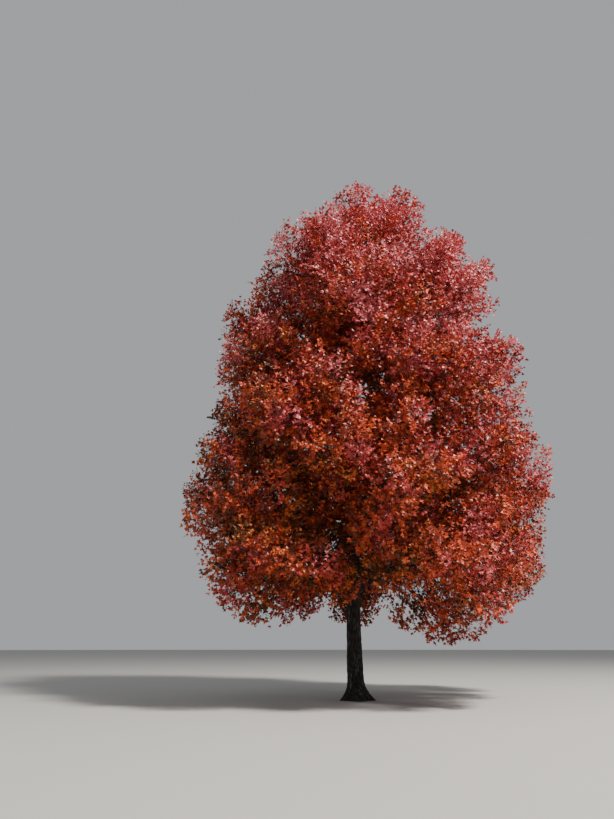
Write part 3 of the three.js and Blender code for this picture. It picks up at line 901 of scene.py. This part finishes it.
def node(tree, kind, **settings):
    """A node with its settings, and with the values of its inputs where a name is an input's."""
    made = tree.nodes.new(kind)
    for name, value in settings.items():
        if hasattr(made, name):
            setattr(made, name, value)
        else:
            made.inputs[name.replace("_", " ")].default_value = value
    return made


def wire(tree, source, target):
    tree.links.new(source, target)


def new_group(name, inputs, outputs):
    group = bpy.data.node_groups.new(name, "ShaderNodeTree")
    for way, sockets in (("INPUT", inputs), ("OUTPUT", outputs)):
        for label, kind in sockets.items():
            group.interface.new_socket(name=label, in_out=way, socket_type=kind)
    return group, group.nodes.new("NodeGroupInput"), group.nodes.new("NodeGroupOutput")


def feed(tree, value, target):
    """A socket gets wired to another socket or takes a plain number."""
    if isinstance(value, (int, float)):
        target.default_value = value
    else:
        wire(tree, value, target)


def mixed(tree, factor, first, second, blend="MIX"):
    """Two colours mixed. On a mix node they are sockets 6 and 7, and the result is output 2."""
    mix = node(tree, "ShaderNodeMix", data_type="RGBA", blend_type=blend)
    for value, target in ((factor, 0), (first, 6), (second, 7)):
        feed(tree, value, mix.inputs[target])
    return mix.outputs[2]


def worked_out(tree, operation, *values, **settings):
    """The result of one sum on sockets and plain numbers."""
    made = node(tree, "ShaderNodeMath", operation=operation, **settings)
    for value, target in zip(values, made.inputs):
        feed(tree, value, target)
    return made.outputs[0]


def ramp(tree, source, low, high, to_low=0.0, to_high=1.0):
    """A value moved from one range to another."""
    made = node(tree, "ShaderNodeMapRange")
    for i, value in enumerate((low, high, to_low, to_high)):
        made.inputs[i + 1].default_value = value
    wire(tree, source, made.inputs[0])
    return made.outputs[0]


def object_place(tree):
    """The socket that tells each point's place on its object."""
    return node(tree, "ShaderNodeTexCoord").outputs["Object"]


print("crimson as shaders take it:", linear("AE3A36"))

# %% [markdown]
# ## Bark that shows its age
# The furrows are painted nearly black, a painted shade in the recesses of the cut relief. The plates are
# a very dark brownish grey, which also paints in the shade that the crown casts on the wood, and their
# faces carry pale streaks of lichen. Trunk and boughs share this effect, so it is one node group that
# each material feeds with its own colours.

# %% The bark group
BARK = SimpleNamespace(
    stretch=(1, 1, 0.22), plate=(0.15, 0.85), lichen=(0.5, 0.68), dirt=0.6, shade=(0.45, 1.25),
    dull=(0.95, 0.78),
)
aged_and_shaded, given, result = new_group(
    "aged_and_shaded_bark",
    {"Place": VECTOR, "Relief": VALUE, "Furrow": COLOUR, "Plate": COLOUR, "Lichen": COLOUR,
     "Grain": VALUE, "Streaks": VALUE},
    {"Color": COLOUR, "Roughness": VALUE, "Height": VALUE},
)
stretch = node(aged_and_shaded, "ShaderNodeMapping", Scale=BARK.stretch)
wire(aged_and_shaded, given.outputs["Place"], stretch.inputs["Vector"])
grain = node(aged_and_shaded, "ShaderNodeTexNoise", Detail=6.0, Roughness=0.62)
wire(aged_and_shaded, stretch.outputs[0], grain.inputs["Vector"])
wire(aged_and_shaded, given.outputs["Grain"], grain.inputs["Scale"])
streak = node(aged_and_shaded, "ShaderNodeTexNoise", Scale=7.0, Detail=4.0, Roughness=0.6)
wire(aged_and_shaded, stretch.outputs[0], streak.inputs["Vector"])

plate_face = ramp(aged_and_shaded, given.outputs["Relief"], *BARK.plate)
# painted shade: the nearly black furrow colour fills the recesses of the relief, and the plate colour
# covers the raised faces
painted_furrow_shade = mixed(aged_and_shaded, plate_face, given.outputs["Furrow"], given.outputs["Plate"])
patch = worked_out(aged_and_shaded, "MULTIPLY", ramp(aged_and_shaded, streak.outputs["Fac"], *BARK.lichen), plate_face)
amount = worked_out(aged_and_shaded, "MULTIPLY", patch, given.outputs["Streaks"])
streaked = mixed(aged_and_shaded, amount, painted_furrow_shade, given.outputs["Lichen"])
shade = ramp(aged_and_shaded, grain.outputs["Fac"], *NOISE_SPAN, *BARK.shade)
wire(aged_and_shaded, mixed(aged_and_shaded, BARK.dirt, streaked, shade, "MULTIPLY"), result.inputs["Color"])
dull = ramp(aged_and_shaded, grain.outputs["Fac"], *NOISE_SPAN, *BARK.dull)
wire(aged_and_shaded, dull, result.inputs["Roughness"])
wire(aged_and_shaded, grain.outputs["Fac"], result.inputs["Height"])
print("bark group:", len(aged_and_shaded.nodes), "nodes")

# %% [markdown]
# ## Bark on trunk and boughs
# Each material gives the group its own colours and takes the relief from the vertices, so that the
# painted shade of the furrows lies where the mesh is cut. The boughs' bark is younger: finer in grain,
# less streaked.

# %% Trunk and bough materials


def new_material(name):
    material = bpy.data.materials.new(name)
    material.use_nodes = True
    return material, material.node_tree, material.node_tree.nodes["Principled BSDF"]


def bump_from(tree, height, shader, strength, distance):
    bump = node(tree, "ShaderNodeBump", Strength=strength, Distance=distance)
    wire(tree, height, bump.inputs["Height"])
    wire(tree, bump.outputs[0], shader.inputs["Normal"])


def bark_material(name, furrow, plate, lichen, grain, streaks):
    material, tree, shader = new_material(name)
    group = node(
        tree, "ShaderNodeGroup", node_tree=aged_and_shaded, Furrow=linear(furrow), Plate=linear(plate),
        Lichen=linear(lichen), Grain=grain, Streaks=streaks,
    )
    wire(tree, object_place(tree), group.inputs["Place"])
    relief = node(tree, "ShaderNodeAttribute", attribute_name="relief")
    wire(tree, relief.outputs["Fac"], group.inputs["Relief"])
    wire(tree, group.outputs["Color"], shader.inputs["Base Color"])
    wire(tree, group.outputs["Roughness"], shader.inputs["Roughness"])
    bump_from(tree, group.outputs["Height"], shader, strength=0.5, distance=0.004)
    return material


# furrow colours are painted shade in the recesses; furrow and plate colours are also kept very dark as
# painted shade of the crown on trunk and boughs
old_bark = bark_material(
    "old_maple_bark", furrow="120F0D", plate="332D29", lichen="7C7771", grain=42.0, streaks=0.6,
)
young_bark = bark_material(
    "young_maple_bark", furrow="17120F", plate="332C27", lichen="645E58", grain=60.0, streaks=0.3,
)
trunk_bark.data.materials.append(old_bark)
for piece in bough_barks:
    piece.data.materials.append(young_bark)
print("old bark on the trunk, young bark on", len(bough_barks), "boughs")

# %% [markdown]
# ## Wood of the crown
# The limbs inside the crown are smooth and grey-brown, and the last shoots are thin and reddish. They
# are so fine that a pattern of colour would never show, so their colour is even and only their sheen
# changes along them.

# %% Limb and twig materials
WOOD_DULL = (0.7, 0.95)


def wood_material(name, colour, grain_scale):
    material, tree, shader = new_material(name)
    shader.inputs["Base Color"].default_value = linear(colour)
    grain = node(tree, "ShaderNodeTexNoise", Scale=grain_scale, Detail=3.0)
    wire(tree, object_place(tree), grain.inputs["Vector"])
    dull = ramp(tree, grain.outputs["Fac"], *NOISE_SPAN, *WOOD_DULL)
    wire(tree, dull, shader.inputs["Roughness"])
    bump_from(tree, grain.outputs["Fac"], shader, strength=0.3, distance=0.002)
    return material


limb_wood = wood_material("limb_bark", "332B26", grain_scale=30.0)
twig_wood = wood_material("twig_bark", "40271F", grain_scale=60.0)
crown_limbs.data.materials.append(limb_wood)
crown_twigs.data.materials.append(twig_wood)
fine_shoots.data.materials.append(twig_wood)
print("wood finishes:", limb_wood.name, twig_wood.name)

# %% [markdown]
# ## The finish of a leaf
# A maple leaf is slightly waxy between its veins and duller on them, and each lobe has a main vein that
# starts at the stalk. The veins are drawn on the blade's own flat coordinates: the distance to three
# straight lines through the stalk. They raise the surface and change its sheen, while the colour stays
# the even tint of its spray.

# %% Leaf veins as a group
VEIN_ANGLES = (0.0, 0.72, -0.72)
VEIN_WIDTH = 0.033  # in leaf lengths
veins, given, result = new_group(
    "leaf_veins",
    {"Drawing": VECTOR, "Width": VALUE, "Vein Roughness": VALUE, "Blade Roughness": VALUE},
    {"Roughness": VALUE, "Height": VALUE},
)
from_stalk = node(veins, "ShaderNodeVectorMath", operation="SUBTRACT")
from_stalk.inputs[1].default_value = (*DRAWING.stalk, 0)
wire(veins, given.outputs["Drawing"], from_stalk.inputs[0])
to_veins = []
for angle in VEIN_ANGLES:
    off = node(veins, "ShaderNodeVectorMath", operation="DOT_PRODUCT")
    off.inputs[1].default_value = (math.cos(angle), -math.sin(angle), 0)
    wire(veins, from_stalk.outputs[0], off.inputs[0])
    to_veins.append(worked_out(veins, "ABSOLUTE", off.outputs["Value"]))
nearest = to_veins[0]
for to_vein in to_veins[1:]:
    nearest = worked_out(veins, "MINIMUM", nearest, to_vein)
on_blade = worked_out(veins, "DIVIDE", nearest, given.outputs["Width"], use_clamp=True)
sheen = node(veins, "ShaderNodeMix", data_type="FLOAT")
wire(veins, on_blade, sheen.inputs[0])
wire(veins, given.outputs["Vein Roughness"], sheen.inputs[2])
wire(veins, given.outputs["Blade Roughness"], sheen.inputs[3])
wire(veins, sheen.outputs[0], result.inputs["Roughness"])
wire(veins, worked_out(veins, "SUBTRACT", 1, on_blade), result.inputs["Height"])
print("vein group:", len(veins.nodes), "nodes")

# %% [markdown]
# ## One finish for each tint
# All leaf materials are alike but for their colour: the veins dull, the blade between them waxy.

# %% Leaf materials
LEAF_FINISH = SimpleNamespace(vein_roughness=0.8, blade_roughness=0.38, reflection=0.45)


def leaf_material(name, colour):
    material, tree, shader = new_material(name)
    shader.inputs["Base Color"].default_value = linear(colour)
    shader.inputs["Specular IOR Level"].default_value = LEAF_FINISH.reflection
    group = node(
        tree, "ShaderNodeGroup", node_tree=veins, Width=VEIN_WIDTH * DRAWING.size,
        Vein_Roughness=LEAF_FINISH.vein_roughness, Blade_Roughness=LEAF_FINISH.blade_roughness,
    )
    drawing = node(tree, "ShaderNodeUVMap", uv_map=DRAWING_MAP)
    wire(tree, drawing.outputs[0], group.inputs["Drawing"])
    wire(tree, group.outputs["Roughness"], shader.inputs["Roughness"])
    bump_from(tree, group.outputs["Height"], shader, strength=0.3, distance=0.003)
    return material


for tint, kind in TINTS.items():
    finish = leaf_material("maple_leaf_" + tint, kind.colour)
    for piece in leaf_pieces[tint]:
        piece.data.materials.append(finish)
print("leaf finishes:", len(TINTS))

# %% [markdown]
# ## The studio
# The tree stands on a plain pale floor, so wide that its edge makes a level horizon. Its sheen is
# faintly uneven, as on any real floor.

# %% Floor
FLOOR = SimpleNamespace(radius=400.0, sides=96, colour="ADACA8", mottle=0.4, sheen=(0.82, 0.9))
bm = bmesh.new()
bmesh.ops.create_circle(bm, cap_ends=True, segments=FLOOR.sides, radius=FLOOR.radius)
floor = joined_mesh("studio_floor", *arrays_of(bm), smooth=False)
floor_finish, tree, shader = new_material("pale_floor")
mottle = node(tree, "ShaderNodeTexNoise", Scale=FLOOR.mottle, Detail=3.0)
wire(tree, object_place(tree), mottle.inputs["Vector"])
sheen = ramp(tree, mottle.outputs["Fac"], *NOISE_SPAN, *FLOOR.sheen)
wire(tree, sheen, shader.inputs["Roughness"])
shader.inputs["Base Color"].default_value = linear(FLOOR.colour)
floor.data.materials.append(floor_finish)
print("floor", 2 * FLOOR.radius, "m across")

# %% [markdown]
# ## Light
# The main light is a disc 8 m wide, high up at the right and in front, so shadows have soft edges and
# each tuft of leaves is lit on one side. A weak, wider one fills from the left, and the pale
# surroundings light the tree evenly from all sides.

# %% Lights
LIT_POINT = Vector((0.5, 0, 9))
SURROUNDINGS = SimpleNamespace(colour=(0.88, 0.89, 0.92, 1), strength=0.46)


def soft_light(name, place, size, power, colour):
    light = bpy.data.lights.new(name, "AREA")
    light.shape, light.size, light.energy, light.color = "DISK", size, power, colour
    lamp = bpy.data.objects.new(name, light)
    lamp.location = place
    lamp.rotation_euler = (LIT_POINT - Vector(place)).to_track_quat("-Z", "Y").to_euler()
    bpy.context.scene.collection.objects.link(lamp)
    print(name, "light", power, "W,", size, "m wide")


soft_light("key", place=(25, -22, 46), size=8, power=64000, colour=(1.0, 0.94, 0.88))
soft_light("fill", place=(-34, -14, 24), size=20, power=700, colour=(0.85, 0.92, 1.0))

surroundings = bpy.data.worlds.new("pale_surroundings")
surroundings.use_nodes = True
sky = surroundings.node_tree.nodes["Background"]
sky.inputs["Color"].default_value = SURROUNDINGS.colour
sky.inputs["Strength"].default_value = SURROUNDINGS.strength
bpy.context.scene.world = surroundings

# %% [markdown]
# ## The finished tree
